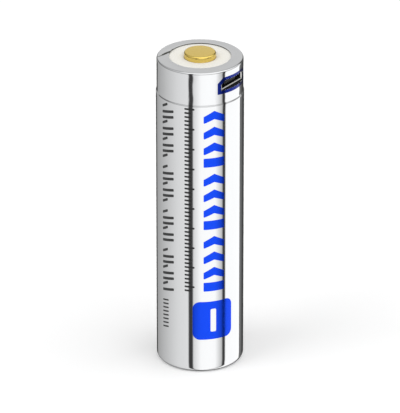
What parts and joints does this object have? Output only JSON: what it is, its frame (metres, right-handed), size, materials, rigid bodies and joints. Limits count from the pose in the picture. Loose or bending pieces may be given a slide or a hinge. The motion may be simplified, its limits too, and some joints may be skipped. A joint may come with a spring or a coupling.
{
  "type": "cylindrical battery cell",
  "caption": "Rechargeable cylindrical lithium cell with a charging port in its side below the positive button, standing on its negative end.",
  "frame": {"origin": "middle of the base, on the surface that the cell stands on", "axes": "+Z along the cell's axis, from the negative end to the positive button; +X out of the charging port"},
  "size_m": [0.0186, 0.0186, 0.071],
  "materials": {
    "silver_film": "metallised shrink film, satin",
    "nickel_steel": "nickel-plated deep-drawn steel",
    "port_steel": "stamped and folded stainless shell",
    "gold_plate": "thin gold plating over a drawn button",
    "white_washer": "die-cut white insulating board",
    "nickel_strip": "rolled nickel strip",
    "sleeve_film": "thin shrink film",
    "aluminium_sheet": "pressed aluminium sheet",
    "cathode_coating": "calendered coating on foil",
    "anode_coating": "graphite coating on foil",
    "separator_film": "microporous film",
    "roll_tape": "adhesive tape",
    "vulcanised_fibre": "die-cut fibre board",
    "black_fibre": "die-cut black fibre board",
    "seal_plastic": "moulded polypropylene seal",
    "ptc_polymer": "carbon-filled polymer ring",
    "housing_plastic": "moulded flame-retardant plastic",
    "board_laminate": "glass-epoxy laminate with solder mask",
    "chip_epoxy": "transfer-moulded epoxy",
    "ferrite": "pressed ferrite",
    "capacitor_ceramic": "fired ceramic with plated ends",
    "resistor_ceramic": "glazed thick film",
    "led_lens": "clear moulded epoxy",
    "port_plastic": "moulded liquid-crystal polymer",
    "gold_pins": "gold-flashed copper alloy"
  },
  "bodies": {
    "root": {"wrap_sleeve": "silver_film", "negative_contact_plate": "nickel_steel", "negative_strip": "nickel_strip", "cell_can": "nickel_steel", "inner_sleeve": "sleeve_film", "core_tube": "nickel_steel", "roll_tape": "roll_tape", "bottom_insulator": "vulcanised_fibre", "top_insulator": "vulcanised_fibre", "anode_tab": "nickel_strip", "cathode_tab": "aluminium_sheet", "crimp_gasket": "seal_plastic", "interrupt_disc": "aluminium_sheet", "vent_insulator": "seal_plastic", "vent_disc": "aluminium_sheet", "ptc_ring": "ptc_polymer", "top_cap": "nickel_steel", "crimp_insulator": "black_fibre", "positive_strip": "nickel_strip", "module_housing": "housing_plastic", "charge_board": "board_laminate", "terminal_board": "board_laminate", "board_pins": "gold_pins", "port_shell": "port_steel", "port_tongue": "port_plastic", "port_contacts": "gold_pins", "charge_controller": "chip_epoxy", "power_inductor": "ferrite", "protection_controller": "chip_epoxy", "dual_transistor": "chip_epoxy", "chip_capacitors": "capacitor_ceramic", "chip_resistors": "resistor_ceramic", "status_led": "led_lens", "terminal_washer": "white_washer", "positive_button": "gold_plate", "cathode_sheet": "cathode_coating", "anode_sheet": "anode_coating", "inner_separator": "separator_film", "outer_separator": "separator_film"}
  },
  "joints": []
}
